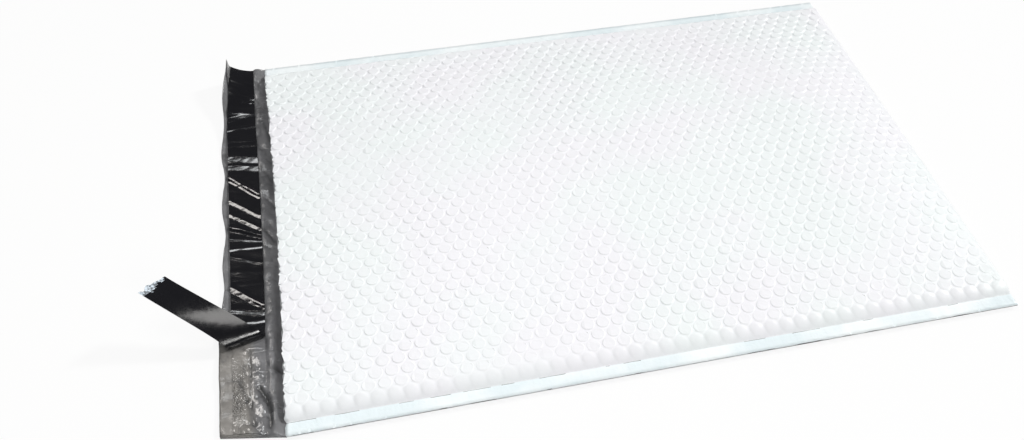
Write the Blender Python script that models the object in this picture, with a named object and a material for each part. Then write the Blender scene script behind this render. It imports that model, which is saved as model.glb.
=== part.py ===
"""Padded envelope: a poly bubble mailer, empty and slightly puffed, lying on its back.

The origin is on the underside, under the middle of the pouch. +X runs from the mouth to
the bottom fold, +Y from the near side seam to the far one, +Z up. Lengths are in metres.

One film web makes the front panel, the bottom fold, the back panel and the flap. Its two
long sides are welded. A bubble lining lies loose inside the pouch, open at the mouth.
The flap lies open, with a strip of adhesive on it and the strip's release liner peeled
back from the near end.
"""
import math

import bmesh
import bpy
from mathutils import Vector

# Pouch
POUCH_LENGTH = 0.5842
POUCH_WIDTH = 0.4826
SEAM_WIDTH = 0.0125
SEAM_THICKNESS = 0.0012
SEAM_LIFT = 0.0024
BELLY_RISE_WIDTH = 0.036
SHOULDER_WIDTH = 0.013

# Film and lining walls
FILM_THICKNESS = 0.0006
LINING_WALL = 0.0031
CLEARANCE = 0.0003

# Air space between the two lining walls, along the middle of the pouch
MOUTH_GAP = 0.0060
CROWN_GAP = 0.0155
FOLD_GAP = 0.0026
MOUTH_RISE_LENGTH = 0.200
FOLD_FALL_LENGTH = 0.120
FOLD_FALL_POWER = 2.5
LIP_SETBACK = 0.0035

# Bubbles, in rows along X that are shifted by half a pitch from row to row
BUBBLE_PITCH = 0.0127
BUBBLE_ROW = 0.0110
BUBBLE_RISE = 0.0011

# Flap, whose far corner is curled up and whose edge is drawn in where the liner grips it
FLAP_DEPTH = 0.0472
FLAP_THICKNESS = 0.0005
FLAP_TAPER = 0.0120
CURL_HEIGHT = 0.0245
CURL_LENGTH = 0.110
CURL_PULL = 0.0075
EDGE_DRAW = 0.0050
EDGE_WAVE = 0.0016
EDGE_WAVE_HEIGHT = 0.0030
EDGE_WAVE_LENGTH = 0.083

# Adhesive strip and release liner
STRIP_WIDTH = 0.0250
STRIP_MARGIN = 0.0090
STRIP_END_MARGIN = 0.0015
CORNER_MARGIN = 0.0012
CORNER_LENGTH = 0.0400
ADHESIVE_THICKNESS = 0.0003
LINER_THICKNESS = 0.0003
WRINKLE_HEIGHT = 0.0011
WRINKLE_LENGTH = 0.0413
WRINKLE_SLANT = 0.0060
WRINKLE_RATIO = 1.74

# Peeled end of the liner: its length, the skew of the peel line, and how far its outer
# and its inner edge go from the peel line to the bend and from the bend to the free end
LINER_PEELED = 0.1050
PEEL_SKEW = 0.0090
OUTER_BEND = Vector((-0.0033, -0.0066, 0.0038))
INNER_BEND = Vector((-0.0015, -0.0048, 0.0043))
OUTER_TAIL = Vector((-0.0562, 0.0326, 0.0405))
INNER_TAIL = Vector((-0.0662, 0.0426, 0.0380))
OUTER_RISE = Vector((-0.0036, 0.0020, 0.0075))
INNER_RISE = Vector((-0.0012, -0.0005, 0.0090))
TAIL_RUN = Vector((-0.0154, 0.0093, 0.0107))

# Steps of the lofts
SHOULDER_STEPS = (0.0, 0.22, 0.55)
ARC_STEPS = 4
COARSE_COLUMNS = 14
COARSE_ROW_STRIDE = 4
STRIP_LANES = 2
LINER_SUBROWS = 2
BEND_STEPS = 6
TAIL_STEPS = 8

MOUTH_X = -POUCH_LENGTH / 2
FOLD_X = POUCH_LENGTH / 2
SIDE_Y = POUCH_WIDTH / 2
SEAM_Y = SIDE_Y - SEAM_WIDTH
PADDING = 2 * (FILM_THICKNESS + CLEARANCE + LINING_WALL)


def clamp(value, low=0.0, high=1.0):
    return max(low, min(high, value))


def ease(value):
    value = clamp(value)
    return value * value * (3 - 2 * value)


def level_off(value, power=2.0):
    """Rises steeply from 0 and levels off at 1."""
    return 1 - (1 - clamp(value)) ** power


def lerp(start, end, share):
    return start + (end - start) * share


def underside(y):
    """Height of the web's lower face: flat on the ground, lifted towards the seams."""
    inward = SEAM_Y - abs(y)
    return SEAM_LIFT * (1 - clamp(inward / BELLY_RISE_WIDTH)) ** 2


def dome(y):
    return 1 - clamp(abs(y) / SEAM_Y) ** 2


def walls(y):
    """Thickness of the two padded walls together, pressed flat in the seams."""
    return lerp(SEAM_THICKNESS, PADDING, level_off((SEAM_Y - abs(y)) / SHOULDER_WIDTH))


def fold_thickness(y):
    return walls(y) + FOLD_GAP * dome(y)


def lip_x(y):
    """Front panel's mouth edge, drawn back where the pouch is puffed."""
    return MOUTH_X + LIP_SETBACK * dome(y)


def bend_x(y):
    """Where the round of the bottom fold begins."""
    return FOLD_X - fold_thickness(y) / 2


def pouch_thickness(x, y):
    """Thickness of the walls and the air between them."""
    from_mouth = level_off((x - lip_x(y)) / MOUTH_RISE_LENGTH)
    from_fold = level_off((bend_x(y) - x) / FOLD_FALL_LENGTH, FOLD_FALL_POWER)
    gap = lerp(MOUTH_GAP, CROWN_GAP, from_mouth)
    return walls(y) + lerp(FOLD_GAP, gap, from_fold) * dome(y)


def bubble_rows():
    """Y of each row of bubbles between the two shoulders."""
    half = SEAM_Y - SHOULDER_WIDTH
    count = max(4, round(2 * half / BUBBLE_ROW))
    return [lerp(-half, half, row / count) for row in range(count + 1)]


def bubble_columns():
    """Shares of the panel's length at which peaks and dents alternate."""
    count = round((POUCH_LENGTH - PADDING / 2) / (BUBBLE_PITCH / 2))
    return [column / count for column in range(count + 1)]


def shoulder_rows():
    """Y of the near side's rows from the seam's inner edge up the shoulder."""
    return [-SEAM_Y + SHOULDER_WIDTH * share for share in SHOULDER_STEPS]


def mirrored(rows):
    return [-y for y in reversed(rows)]


def film_rows():
    near = [-SIDE_Y] + shoulder_rows()
    return near + bubble_rows() + mirrored(near)


def coarse_rows(skip):
    """Rows of a smooth inner face, without the skip outermost ones on each side."""
    bubbles = bubble_rows()
    middle = bubbles[COARSE_ROW_STRIDE:-COARSE_ROW_STRIDE:COARSE_ROW_STRIDE]
    near = (shoulder_rows() + bubbles[:2])[skip:]
    return near + middle + mirrored(near)


def coarse_columns():
    """Shares of the panel's length, closer together near the two ends."""
    steps = range(COARSE_COLUMNS + 1)
    return [(1 - math.cos(math.pi * step / COARSE_COLUMNS)) / 2 for step in steps]


def panel_x(share, y):
    return lerp(lip_x(y), bend_x(y), share)


def fold_arc(y, inset):
    """Points round the bottom fold, between the front and the back panel."""
    radius = fold_thickness(y) / 2 - inset
    centre_z = underside(y) + fold_thickness(y) / 2
    points = []
    for step in range(1, ARC_STEPS):
        angle = math.pi * step / ARC_STEPS
        points.append(Vector((bend_x(y) + radius * math.sin(angle), y,
                              centre_z + radius * math.cos(angle))))
    return points


def pouch_section(y, inset, columns, overshoot=0.0):
    """Closed section of the pouch's form at one row, set in by a wall from its faces."""
    front = []
    back = []
    for share in columns:
        x = panel_x(share, y)
        front.append(Vector((x, y, underside(y) + pouch_thickness(x, y) - inset)))
        back.append(Vector((x, y, underside(y) + inset)))
    if overshoot:
        front.insert(0, front[0] - Vector((overshoot, 0, 0)))
        back.insert(0, back[0] - Vector((overshoot, 0, 0)))
    return front + fold_arc(y, inset) + back[::-1]


def loft(sections):
    """Closed body through equal rings, each quad creased between its lower corners."""
    mesh = bmesh.new()
    rings = [[mesh.verts.new(point) for point in section] for section in sections]
    for ring, following in zip(rings, rings[1:]):
        for index in range(len(ring)):
            after = (index + 1) % len(ring)
            a, b, c, d = ring[index], ring[after], following[after], following[index]
            if a.co.z + c.co.z <= b.co.z + d.co.z:
                mesh.faces.new((a, b, c))
                mesh.faces.new((a, c, d))
            else:
                mesh.faces.new((a, b, d))
                mesh.faces.new((b, c, d))
    mesh.faces.new(reversed(rings[0]))
    mesh.faces.new(rings[-1])
    bmesh.ops.recalc_face_normals(mesh, faces=mesh.faces)
    return mesh


def material(name, colour, roughness, metallic=0.0):
    finish = bpy.data.materials.new(name)
    finish.use_nodes = True
    shader = finish.node_tree.nodes["Principled BSDF"]
    shader.inputs["Base Color"].default_value = (*colour, 1.0)
    shader.inputs["Roughness"].default_value = roughness
    shader.inputs["Metallic"].default_value = metallic
    return finish


def add_object(name, mesh, parent, finish=None):
    data = bpy.data.meshes.new(name)
    mesh.to_mesh(data)
    mesh.free()
    item = bpy.data.objects.new(name, data)
    bpy.context.scene.collection.objects.link(item)
    item.parent = parent
    if finish:
        data.materials.append(finish)
    return item


def hollow(item, cutter):
    """Cuts a guide body out of a piece."""
    cutter.hide_render = True
    cutter.display_type = "WIRE"
    cut = item.modifiers.new("Hollow", "BOOLEAN")
    cut.operation = "DIFFERENCE"
    cut.solver = "EXACT"
    cut.object = cutter


def pouch_body(name, parent, inset, skip, overshoot=0.0, finish=None):
    sections = [pouch_section(y, inset, coarse_columns(), overshoot) for y in coarse_rows(skip)]
    return add_object(name, loft(sections), parent, finish)


def strip_margin(y):
    """Bare film outside the strip, narrowing into the curled corner."""
    corner = ease((y - SIDE_Y + CORNER_LENGTH) / CORNER_LENGTH)
    return lerp(STRIP_MARGIN, CORNER_MARGIN, corner)


def flap_lines(y):
    """Shares of the flap's depth at which its film and the strip on it are creased."""
    outer = 1 - strip_margin(y) / FLAP_DEPTH
    inner = 1 - (STRIP_MARGIN + STRIP_WIDTH) / FLAP_DEPTH
    strip = [lerp(inner, outer, lane / STRIP_LANES) for lane in range(STRIP_LANES + 1)]
    return [inner / 2] + strip + [1.0]


def strip_lines(y):
    return flap_lines(y)[1:-1]


def gripped(y):
    """Share of the liner's grip on the flap: none along the peeled end."""
    return ease((y + SIDE_Y - LINER_PEELED) / EDGE_WAVE_LENGTH)


def flap_point(share, y, height=0.0):
    """Point above the flap's lower face; share runs from the mouth to the flap's edge."""
    curl = ease((y - SIDE_Y + CURL_LENGTH) / CURL_LENGTH) ** 1.5
    margin = clamp(1 - (1 - share) * FLAP_DEPTH / STRIP_MARGIN)
    wave = math.cos(2 * math.pi * (SIDE_Y - y) / EDGE_WAVE_LENGTH)
    draw = gripped(y) * (EDGE_DRAW + EDGE_WAVE * wave) * margin + CURL_PULL * curl * share
    x = lerp(lip_x(y), MOUTH_X - FLAP_DEPTH, share) + draw
    lift = underside(y) * (1 - share) + CURL_HEIGHT * curl * share ** 2
    lift += EDGE_WAVE_HEIGHT * gripped(y) * (1 + wave) / 2 * margin
    return Vector((x, y * (1 - FLAP_TAPER / SIDE_Y * share), lift + height))


def relief(column, row, last_column, last_row):
    """Height of a bubble's peak over the dents between the bubbles."""
    peak = (column + row) % 2 == 0
    inside = column < last_column and 0 < row < last_row
    return BUBBLE_RISE if peak and inside else 0.0


def film_section(y, row, last_row):
    """Closed section of the web at one row, still solid where the pouch is hollow."""
    columns = bubble_columns()
    section = pouch_section(y, 0.0, columns)
    for column in range(len(columns)):
        section[column].z += relief(column, row, len(columns) - 1, last_row)
    front_and_fold = section[:len(columns) + ARC_STEPS - 1]
    back = [Vector((panel_x(share, y), y, underside(y))) for share in (1.0, 2 / 3, 1 / 3)]
    lines = [0.0] + flap_lines(y)
    under_flap = [flap_point(share, y) for share in lines]
    over_flap = [flap_point(share, y, FLAP_THICKNESS) for share in reversed(lines)]
    return front_and_fold + back + under_flap + over_flap


def outer_film(parent):
    rows = film_rows()
    first_bubble_row = len(shoulder_rows()) + 1
    last_row = len(bubble_rows()) - 1
    sections = []
    for index, y in enumerate(rows):
        sections.append(film_section(y, index - first_bubble_row, last_row))
    finish = material("white_film", (0.80, 0.82, 0.85), 0.32)
    film = add_object("outer_film", loft(sections), parent, finish)
    space = pouch_body("film_space", parent, FILM_THICKNESS, 1, FILM_THICKNESS)
    hollow(film, space)
    return film


def bubble_lining(parent):
    finish = material("bubble_film", (0.74, 0.77, 0.80), 0.28)
    outset = FILM_THICKNESS + CLEARANCE
    lining = pouch_body("bubble_lining", parent, outset, 2, finish=finish)
    space = pouch_body("lining_space", parent, outset + LINING_WALL, 4, FILM_THICKNESS)
    hollow(lining, space)
    return lining


def strip_rows():
    """Rows of the film that the strip covers, with its two ends."""
    reach = SIDE_Y - STRIP_END_MARGIN
    inside = [y for y in film_rows() if abs(y) < reach - STRIP_END_MARGIN]
    return [-reach] + inside + [reach]


def adhesive_strip(parent):
    sections = []
    low = FLAP_THICKNESS + CLEARANCE
    high = low + ADHESIVE_THICKNESS
    for y in strip_rows():
        lower = [flap_point(share, y, low) for share in strip_lines(y)]
        upper = [flap_point(share, y, high) for share in reversed(strip_lines(y))]
        sections.append(lower + upper)
    finish = material("clear_adhesive", (0.23, 0.20, 0.18), 0.22)
    return add_object("adhesive_strip", loft(sections), parent, finish)


def wrinkle(distance, lane):
    """Height of the liner's crosswise wrinkles, uneven along its length."""
    turn = 2 * math.pi * (distance + WRINKLE_SLANT * lane) / WRINKLE_LENGTH
    return WRINKLE_HEIGHT * clamp((math.sin(turn) + math.cos(WRINKLE_RATIO * turn)) / 2 + 0.2)


def liner_row(y, skew=0.0):
    """Points across the stuck liner, from its outer to its inner edge."""
    height = FLAP_THICKNESS + ADHESIVE_THICKNESS + 2 * CLEARANCE + LINER_THICKNESS / 2
    row = []
    for lane, share in enumerate(reversed(strip_lines(y))):
        row.append(flap_point(share, y - skew * (1 - lane / STRIP_LANES), height))
    return row


def stuck_rows():
    """Rows of points of the liner's stuck part, from its far end to the peel line."""
    peel_y = LINER_PEELED + STRIP_END_MARGIN - SIDE_Y
    rows = [y for y in reversed(strip_rows()) if y > peel_y + PEEL_SKEW]
    result = []
    for start, end in zip(rows, rows[1:]):
        for step in range(LINER_SUBROWS):
            row = []
            for lane, (here, there) in enumerate(zip(liner_row(start), liner_row(end))):
                point = here.lerp(there, step / LINER_SUBROWS)
                point.z += wrinkle(SIDE_Y - point.y, lane / STRIP_LANES)
                row.append(point)
            result.append(row)
    return result + [liner_row(rows[-1]), liner_row(peel_y, PEEL_SKEW)]


def bezier(points, share):
    a, b, c, d = points
    rest = 1 - share
    return a * rest ** 3 + b * 3 * rest ** 2 * share + c * 3 * rest * share ** 2 + d * share ** 3


def peeled_edge(start, bend, rise, tail):
    """One edge of the peeled end: round the bend, then up along the free tail."""
    turn = start + bend
    end = turn + tail
    round_bend = (start, start + Vector((0, bend.y, 0)), turn - rise / 3, turn)
    free = (turn, turn + rise, end - TAIL_RUN, end)
    points = [bezier(round_bend, step / BEND_STEPS) for step in range(1, BEND_STEPS + 1)]
    return points + [bezier(free, step / TAIL_STEPS) for step in range(1, TAIL_STEPS + 1)]


def peeled_rows(last_row):
    outer = peeled_edge(last_row[0], OUTER_BEND, OUTER_RISE, OUTER_TAIL)
    inner = peeled_edge(last_row[-1], INNER_BEND, INNER_RISE, INNER_TAIL)
    lanes = range(STRIP_LANES + 1)
    return [[left.lerp(right, lane / STRIP_LANES) for lane in lanes] for left, right in zip(outer, inner)]


def ribbon(rows, thickness):
    """Closed strip of even thickness through rows of points across it."""
    sections = []
    for index, row in enumerate(rows):
        before = rows[max(index - 1, 0)]
        after = rows[min(index + 1, len(rows) - 1)]
        along = after[0] + after[-1] - before[0] - before[-1]
        half = along.cross(row[-1] - row[0]).normalized() * thickness / 2
        sections.append([point - half for point in row] + [point + half for point in reversed(row)])
    return loft(sections)


def release_liner(parent):
    stuck = stuck_rows()
    rows = stuck + peeled_rows(stuck[-1])
    finish = material("black_liner", (0.012, 0.012, 0.014), 0.18)
    return add_object("release_liner", ribbon(rows, LINER_THICKNESS), parent, finish)


def main():
    for item in list(bpy.data.objects):
        bpy.data.objects.remove(item, do_unlink=True)
    mailer = bpy.data.objects.new("padded_envelope", None)
    bpy.context.scene.collection.objects.link(mailer)
    outer_film(mailer)
    bubble_lining(mailer)
    adhesive_strip(mailer)
    release_liner(mailer)


main()
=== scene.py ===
"""Padded envelope: film, bubble lining, adhesive and liner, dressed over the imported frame."""
import math

import bmesh
import bpy
from bpy.props import FloatProperty, FloatVectorProperty, IntProperty, PointerProperty
from bpy.types import Operator, Panel, PropertyGroup
from mathutils import Matrix, Vector, noise


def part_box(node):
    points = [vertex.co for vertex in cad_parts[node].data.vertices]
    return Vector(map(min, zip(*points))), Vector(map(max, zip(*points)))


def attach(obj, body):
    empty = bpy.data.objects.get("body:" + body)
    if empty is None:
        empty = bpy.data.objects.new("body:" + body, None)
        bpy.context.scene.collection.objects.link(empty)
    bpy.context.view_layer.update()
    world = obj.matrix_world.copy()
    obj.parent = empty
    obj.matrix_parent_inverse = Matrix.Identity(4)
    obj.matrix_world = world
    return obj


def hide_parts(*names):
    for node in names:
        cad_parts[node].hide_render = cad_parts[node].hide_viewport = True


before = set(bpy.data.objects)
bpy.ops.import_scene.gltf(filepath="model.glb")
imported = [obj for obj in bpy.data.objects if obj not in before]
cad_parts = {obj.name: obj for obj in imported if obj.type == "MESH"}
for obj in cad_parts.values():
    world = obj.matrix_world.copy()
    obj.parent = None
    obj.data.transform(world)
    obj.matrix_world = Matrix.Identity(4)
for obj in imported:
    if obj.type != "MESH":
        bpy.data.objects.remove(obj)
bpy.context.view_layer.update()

bl_info = {
    "name": "Padded Envelope",
    "version": (1, 0, 0),
    "blender": (4, 5, 0),
    "location": "3D View > Sidebar > Envelope",
    "description": "Dresses a padded envelope over its frame",
    "category": "Object",
}

FILM_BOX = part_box("outer_film")
LINING_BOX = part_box("bubble_lining")
SIDE_Y = FILM_BOX[1].y
FOLD_X = FILM_BOX[1].x
FLAP_X = FILM_BOX[0].x
MOUTH_X = -FOLD_X

# Pouch, as in its solids
SEAM_WIDTH = 0.0125
SEAM_THICKNESS = 0.0012
SEAM_LIFT = 0.0024
BELLY_RISE_WIDTH = 0.036
SHOULDER_WIDTH = 0.013
PADDING = 0.0080
MOUTH_GAP = 0.0060
CROWN_GAP = 0.0155
FOLD_GAP = 0.0026
MOUTH_RISE_LENGTH = 0.200
FOLD_FALL_LENGTH = 0.120
FOLD_FALL_POWER = 2.5
LIP_SETBACK = 0.0035
SEAM_Y = SIDE_Y - SEAM_WIDTH

# Flap, as in its solid
FLAP_DEPTH = MOUTH_X - FLAP_X
FLAP_TAPER = 0.0120
CURL_HEIGHT = 0.0245
CURL_LENGTH = 0.110
CURL_PULL = 0.0075
CURL_POWER = 1.5
EDGE_DRAW = 0.0050
EDGE_WAVE = 0.0016
EDGE_WAVE_HEIGHT = 0.0030
EDGE_WAVE_LENGTH = 0.083

# Strip and liner, as in their solids; the peeled end by offsets of its outer and its inner edge
STRIP_WIDTH = 0.0250
STRIP_MARGIN = 0.0090
STRIP_END_MARGIN = 0.0015
CORNER_MARGIN = 0.0012
CORNER_LENGTH = 0.0400
LINER_PEELED = 0.1050
PEEL_SKEW = 0.0090
OUTER_BEND = Vector((-0.0033, -0.0066, 0.0038))
INNER_BEND = Vector((-0.0015, -0.0048, 0.0043))
OUTER_TAIL = Vector((-0.0562, 0.0326, 0.0405))
INNER_TAIL = Vector((-0.0662, 0.0426, 0.0380))
OUTER_RISE = Vector((-0.0036, 0.0020, 0.0075))
INNER_RISE = Vector((-0.0012, -0.0005, 0.0090))
TAIL_RUN = Vector((-0.0154, 0.0093, 0.0107))

# Bubbles: radii of foot and top in pitches, how full they are, less at the seams, more far off
BUBBLE_FOOT = 0.462
BUBBLE_TOP = 0.412
BUBBLE_FULL = 0.74
BUBBLE_UNEVEN = 0.55
BUBBLE_PATCHES = 0.45
BUBBLE_LEAST = 0.20
BUBBLE_MOST = 1.15
BUBBLE_AT_SEAM = 0.1
BUBBLE_SEAM_RUN = 0.022
BUBBLE_FAR_GAIN = 0.3
BUBBLE_FAR_RUN = 0.20

# Fine forms of the film; a RUN is the way over which a form grows from nothing to full
# Width of the seam's first, narrow row, which carries the painted shadow line
SEAM_SHADOW_ROW = 0.0004
SWAY_HEIGHT = 0.0011
SWAY_SIDE_RUN = 0.06
SWAY_END_RUN = 0.05
MOUTH_SCALLOP = 0.0007
MOUTH_SCALLOP_LENGTH = 0.0062
MOUTH_RAGGED = 0.0011
CRIMP_HEIGHT = 0.00022
LIP_SPREAD = 0.0003
LIP_SPREAD_RUN = 0.02
CRUMPLE_BEND = 0.006
CRUMPLE_BROAD = 0.0026
CRUMPLE_MIDDLE = 0.0014
CRUMPLE_FINE = 0.00050
CRUMPLE_UNDER_STRIP = 0.25
CRUMPLE_AT_EDGE = 0.5
CRUMPLE_WHERE_BARE = 0.35
STRIP_SIDE_RUN = 0.004
BARE_RUN = 0.02
LIP_RUN = 0.008
BARE_RISE = 0.0012
BARE_RISE_RUN = 0.03
# Painted shade in the flap's folds: fold depth that gets full shade, shade in crumple valleys, how
# narrow it is
CREASE_DARK = 0.0016
VALLEY_DARK = 0.5
VALLEY_SHARPNESS = 6

# Noise over which the seams' rim and painted shadow line turn grey; the line breaks up towards the
# bottom fold
RIM_NICKS = 0.22
LINE_FADE = 0.7
LINE_GAPS = -0.08

# Finishes of the film and the liner, in the order of their materials
WHITE, GREY, SEALED = 0, 1, 2
BLACK, TORN = 0, 1

# Where the bare adhesive warms the film and where it is stringy, each from none to full
BARE_X = (-0.3110, -0.3185)
BARE_Y = (-0.105, -0.150)
STRINGY_X = (-0.3185, -0.3215)
STRINGY_FAR_Y = (-0.150, -0.185)
STRINGY_NEAR_Y = (-0.220, -0.208)

# Meshes: stations of the web round the fold, along the back, along the flap and back inside
FOLD_STATIONS, BACK_STATIONS, FLAP_STATIONS = 6, 10, 5
INNER_STATIONS = (30, 4, 5, 30)

# Lining: bubbles cut at the mouth, its walls and how far it stays inside the film; mesh, with
# close stations at the mouth, wider ones along the panel and some round the bottom fold
LINING_INSET = 0.0009
LINING_DENT = 0.0016
LINING_SEALED_WALL = 0.0006
LINING_WALL = 0.0031
LINING_EDGE_RUN = 0.012
LINING_ROW = 0.0110
LINING_PITCH = 0.0127
LINING_SCALLOP = 0.0012
LINING_SCALLOP_DEPTH = 0.0011
LINING_GAP = 0.0002
LINING_LANES = 160
LINING_MOUTH_STATIONS = 12
LINING_MOUTH_STEP = 0.004
LINING_STATIONS = (0.06, 0.09, 0.14, 0.2, 0.3, 0.4, 0.5, 0.6, 0.7, 0.8, 0.88, 0.94, 0.98, 1.0)
LINING_TURNS = 6

# Strip of adhesive: heights over the flap's lower face at its edges and within, mesh
ADHESIVE_EDGE = 0.00035
ADHESIVE_TOP = 0.00070
ADHESIVE_THICKNESS = 0.0005
ADHESIVE_INSET = 0.0007
ADHESIVE_EDGE_LANES = 1.5
ADHESIVE_LANES = 24
ADHESIVE_ROWS = 440

# Liner: height over the flap's lower face, share of the flap's crumples it follows, mesh
LINER_HEIGHT = 0.00155
LINER_COVER = 0.0011
LINER_FOLLOWS = 0.35
LINER_EVENED = 0.6
LINER_THICKNESS = 0.0003
LINER_LANES = 16
LINER_ROWS = 640
LINER_SETTLE_ROWS = 18
BEND_ROWS = 12
TAIL_ROWS = 48
TORN_DEPTH = 0.0035
TORN_RAGGED = 0.006

# Edges of adhesive and liner that bend more than this stay sharp
SHARP_ANGLE = math.radians(60)

# Camera, fitted to the corners of the pouch in the photograph's frame of 1024 by 440
IMAGE_WIDTH = 1024
CAMERA_FOCAL = 1241.7
CAMERA_CENTRE = 631.7
CAMERA_PLACE = (-0.2048, -0.8579, 0.7166)
CAMERA_RIGHT = (0.968594, -0.248047, 0.017297)
CAMERA_AHEAD = (0.198152, 0.727992, -0.656326)
SENSOR_WIDTH = 36.0

# Stage: floor, sky and lamps, each with its place, size, power and colour
FLOOR_SIZE = 6.0
FLOOR_DROP = 0.0004
FLOOR_GLOW = 0.88
SKY_COLOUR = (0.95, 0.985, 1.0, 1.0)
SKY_STRENGTH = 0.24
SKY_IN_GLOSS = 0.08
SKY_IN_VIEW = 1.0
LAMPS = (
    ("key", (4.00, 1.10, 3.40), (0.70, 0.70), 189.0, (1.0, 0.99, 0.97)),
    ("window", (-0.45, 1.10, 2.30), (0.8, 0.32), 8.0, (0.97, 0.99, 1.0)),
    ("side", (-1.35, 1.69, 2.15), (1.1, 0.38), 12.0, (1.0, 0.96, 0.92)),
    ("front", (0.28, -1.71, 1.02), (0.40, 0.40), 8.5, (1.0, 0.99, 0.97)),
    ("near", (-0.27, -0.27, 0.95), (0.45, 0.45), 2.4, (1.0, 0.985, 0.96)),
)


class EnvelopeSizes(PropertyGroup):
    """Sizes of the fine forms."""
    film: FloatProperty(name="Film", description="Thickness of the film as it shows at its edges",
                        default=0.0005, unit="LENGTH", precision=4)
    bubble_columns: IntProperty(name="Bubbles along",
                                description="Bubbles from the mouth to the bottom fold",
                                default=47, min=4)
    bubble_rise: FloatProperty(name="Bubble rise",
                               description="Height of a bubble over the film around it",
                               default=0.00095, unit="LENGTH", precision=5)
    wrinkle: FloatProperty(name="Liner wrinkle",
                           description="Height of the liner's crosswise wrinkles",
                           default=0.0022, unit="LENGTH", precision=4)


class EnvelopeColours(PropertyGroup):
    """Colours of the finishes."""
    film: FloatVectorProperty(name="Film", description="White outer face of the film",
                              default=(0.82, 0.83, 0.845), subtype="COLOR")
    sealed: FloatVectorProperty(name="Sealed",
                                description="White film where the two sides are sealed",
                                default=(0.73, 0.81, 0.84), subtype="COLOR")
    inside: FloatVectorProperty(name="Inside", description="Grey inner face of the film",
                                default=(0.160, 0.160, 0.167), subtype="COLOR")
    lining: FloatVectorProperty(name="Lining", description="Bubble lining over the grey film",
                                default=(0.46, 0.47, 0.49), subtype="COLOR")
    adhesive: FloatVectorProperty(name="Adhesive", description="Adhesive over the grey film",
                                  default=(0.210, 0.200, 0.188), subtype="COLOR")
    liner: FloatVectorProperty(name="Liner", description="Black release liner",
                               default=(0.006, 0.006, 0.008), subtype="COLOR")
    torn: FloatVectorProperty(name="Torn end", description="Torn end of the liner",
                              default=(0.62, 0.70, 0.78), subtype="COLOR")
    floor: FloatVectorProperty(name="Floor", description="Pale floor",
                               default=(0.82, 0.82, 0.82), subtype="COLOR")


def clamp(value, low=0.0, high=1.0):
    return max(low, min(high, value))


def ease(value):
    """Goes from 0 to 1 with a soft start and end."""
    value = clamp(value)
    return value * value * (3 - 2 * value)


def level_off(value, power=2.0):
    """Rises fast from 0 and levels off at 1."""
    return 1 - (1 - clamp(value)) ** power


def lerp(start, end, share):
    return start + (end - start) * share


def wander(x, y, scale, seed):
    """Smooth noise over the object's plan, from about -1 to 1."""
    return noise.noise(Vector((x * scale, y * scale, seed)))


def underside(y):
    """Height of the web's lower face."""
    inward = SEAM_Y - abs(y)
    return SEAM_LIFT * (1 - clamp(inward / BELLY_RISE_WIDTH)) ** 2


def dome(y):
    """Bow across the pouch, 1 in the middle and 0 at the seams."""
    return 1 - clamp(abs(y) / SEAM_Y) ** 2


def walls(y):
    """Thickness of the film and lining of both panels together."""
    return lerp(SEAM_THICKNESS, PADDING, level_off((SEAM_Y - abs(y)) / SHOULDER_WIDTH))


def fold_thickness(y):
    """Thickness of the pouch where it turns at the bottom fold."""
    return walls(y) + FOLD_GAP * dome(y)


def lip_x(y):
    """Place of the mouth's lip along X."""
    return MOUTH_X + LIP_SETBACK * dome(y)


def bend_x(y):
    """Place along X where the panels end and the bottom fold starts."""
    return FOLD_X - fold_thickness(y) / 2


def pouch_thickness(x, y):
    """Thickness of the whole pouch: its walls and the gap between them."""
    from_mouth = level_off((x - lip_x(y)) / MOUTH_RISE_LENGTH)
    from_fold = level_off((bend_x(y) - x) / FOLD_FALL_LENGTH, FOLD_FALL_POWER)
    gap = lerp(MOUTH_GAP, CROWN_GAP, from_mouth)
    return walls(y) + lerp(FOLD_GAP, gap, from_fold) * dome(y)


def gripped(y):
    """How far the liner still holds the flap's edge, 0 where it is peeled."""
    return ease((y + SIDE_Y - LINER_PEELED) / EDGE_WAVE_LENGTH)


def flap_point(share, y, height=0.0):
    """Point above the flap's lower face; share runs from the mouth to the flap's edge."""
    curl = ease((y - SIDE_Y + CURL_LENGTH) / CURL_LENGTH) ** CURL_POWER
    margin = clamp(1 - (1 - share) * FLAP_DEPTH / STRIP_MARGIN)
    wave = math.cos(2 * math.pi * (SIDE_Y - y) / EDGE_WAVE_LENGTH)
    draw = gripped(y) * (EDGE_DRAW + EDGE_WAVE * wave) * margin + CURL_PULL * curl * share
    x = lerp(lip_x(y), FLAP_X, share) + draw
    lift = underside(y) * (1 - share) + CURL_HEIGHT * curl * share ** 2
    lift += EDGE_WAVE_HEIGHT * gripped(y) * (1 + wave) / 2 * margin
    return Vector((x, y * (1 - FLAP_TAPER / SIDE_Y * share), lift + height))


def sway(x, y):
    """Slow rise and fall of the puffed front panel."""
    free = ease((SEAM_Y - abs(y)) / SWAY_SIDE_RUN) * ease((x - lip_x(y)) / SWAY_END_RUN)
    free *= ease((bend_x(y) - x) / SWAY_END_RUN)
    return SWAY_HEIGHT * free * wander(x, y, 7.0, 3.1)


# Stations along the unrolled web: each of its four stretches is one length in the flat
FRONT_END, FOLD_END, BACK_END = 1.0, 2.0, 3.0


def web_point(station, y, outward):
    """Folds a point of the flat web into place, outward from the web's outer face."""
    if station <= FRONT_END:
        x = lerp(lip_x(y), bend_x(y), station)
        return Vector((x, y, underside(y) + pouch_thickness(x, y) + sway(x, y) + outward))
    if station <= FOLD_END:
        angle = math.pi * (station - FRONT_END)
        radius = fold_thickness(y) / 2
        reach = max(radius + outward, 0.0)
        return Vector((bend_x(y) + reach * math.sin(angle), y,
                       underside(y) + radius + reach * math.cos(angle)))
    if station <= BACK_END:
        x = lerp(bend_x(y), lip_x(y), station - FOLD_END)
        return Vector((x, y, underside(y) - outward))
    return flap_point(station - BACK_END, y, -outward)


def soften(faces):
    for face in faces:
        face.smooth = True


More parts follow.
